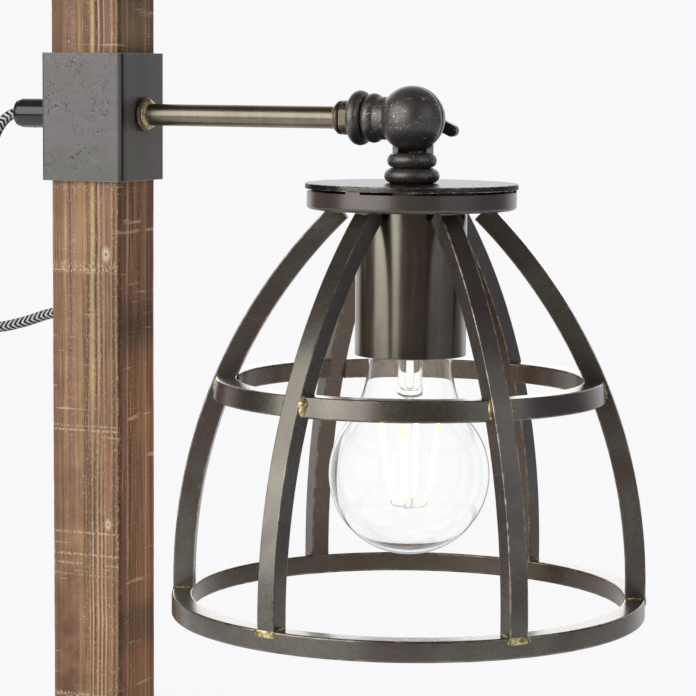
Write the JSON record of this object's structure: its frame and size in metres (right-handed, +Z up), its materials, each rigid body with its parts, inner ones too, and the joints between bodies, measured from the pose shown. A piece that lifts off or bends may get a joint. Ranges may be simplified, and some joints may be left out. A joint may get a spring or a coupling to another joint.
{
  "type": "table lamp",
  "caption": "Table lamp with a square wooden post on a weighted board, a side arm with a tilting ball knuckle, and an open cage of square bars round a clear bulb.",
  "frame": {"origin": "on the surface the lamp stands on, under the post's axis", "axes": "+Z up along the post, +X along the arm towards the shade, +Y away from the viewer of the picture"},
  "size_m": [0.2936, 0.2564, 0.455],
  "materials": {
    "felt": "dense short felt",
    "ballast": "plain mild steel",
    "fasteners": "dull zinc",
    "board_wood": "oiled pine board",
    "post_wood": "worn rough-sawn pine",
    "sleeve_steel": "dull raw steel with fine specks",
    "arm_brass": "antique olive brass",
    "arm_fittings": "dark bronze, worn",
    "braze": "bright brazed filler",
    "knuckle_metal": "blackened cast metal with pale scuffs",
    "gland_black": "glossy black",
    "collet": "plain",
    "wire": "plain insulation",
    "clip_metal": "satin",
    "cord_cloth": "black and white herringbone braid",
    "black_plastic": "moulded, satin",
    "switch_rubber": "soft black",
    "rocker_plastic": "moulded, glossy",
    "switch_fasteners": "zinc",
    "terminal_brass": "plain",
    "pin_metal": "nickel plated",
    "fitting_brass": "plain turned brass",
    "cover_metal": "dark lacquered steel, glossy",
    "pan_metal": "brown-grey satin steel",
    "cage_metal": "olive bronze steel, worn at the edges",
    "cup_metal": "brushed pewter",
    "holder_plastic": "moulded black",
    "cap_metal": "satin",
    "bulb_glass": "clear",
    "stem_glass": "clear",
    "filament": "pale phosphor"
  },
  "bodies": {
    "stand": {"base_felt": "felt", "ballast_plate": "ballast", "ballast_screws": "fasteners", "base_board": "board_wood", "foot_socket": "sleeve_steel", "foot_screws": "fasteners", "post_bolt": "fasteners", "post": "post_wood", "sleeve": "sleeve_steel", "arm_rod": "arm_brass", "arm_flange": "arm_fittings", "arm_collar": "arm_fittings", "lock_nut": "arm_fittings", "arm_braze": "braze", "knuckle_arm_half": "knuckle_metal", "gland_shell": "gland_black", "gland_collet": "collet", "gland_screw": "fasteners", "arm_wires": "wire", "cord_clips": "clip_metal", "clip_screws": "fasteners", "cord_upper": "cord_cloth", "cord_lower": "cord_cloth", "cord_coil": "cord_cloth", "switch_lower": "black_plastic", "switch_upper": "black_plastic", "switch_screws": "switch_fasteners", "switch_terminals": "terminal_brass", "switch_boots": "switch_rubber", "plug_body": "black_plastic", "plug_pins": "pin_metal"},
    "rocker": {"switch_rocker": "rocker_plastic"},
    "clamp": {"wing_screw": "knuckle_metal"},
    "shade": {"clamp_washer": "fasteners", "knuckle_shade_half": "knuckle_metal", "shade_nipple": "fitting_brass", "nipple_nuts": "fitting_brass", "cover_plate": "cover_metal", "shade_pan": "pan_metal", "rib_1": "cage_metal", "rib_2": "cage_metal", "rib_3": "cage_metal", "rib_4": "cage_metal", "rib_5": "cage_metal", "rib_6": "cage_metal", "middle_ring": "cage_metal", "bottom_ring": "cage_metal", "braze_top": "braze", "braze_middle": "braze", "braze_bottom": "braze", "socket_cup": "cup_metal", "holder_body": "holder_plastic", "holder_shell": "terminal_brass", "holder_contact": "terminal_brass", "bulb_cap": "cap_metal", "bulb_glass": "bulb_glass", "bulb_stem": "stem_glass", "bulb_filaments": "filament", "shade_wires": "wire"}
  },
  "joints": [
    {"name": "shade_tilt", "type": "hinge", "parent": "stand", "child": "shade", "pos_m": [0.1305, 0, 0.37], "axis": [0, -1, 0], "range_deg": [-8, 90]},
    {"name": "wing_turn", "type": "hinge", "parent": "stand", "child": "clamp", "pos_m": [0.1305, 0, 0.37], "axis": [0, 1, 0], "range_deg": [0, 180]},
    {"name": "rocker_flip", "type": "hinge", "parent": "stand", "child": "rocker", "pos_m": [0.073, 0.156, 0.011], "axis": [0, 1, 0], "range_deg": [0, 16]}
  ]
}
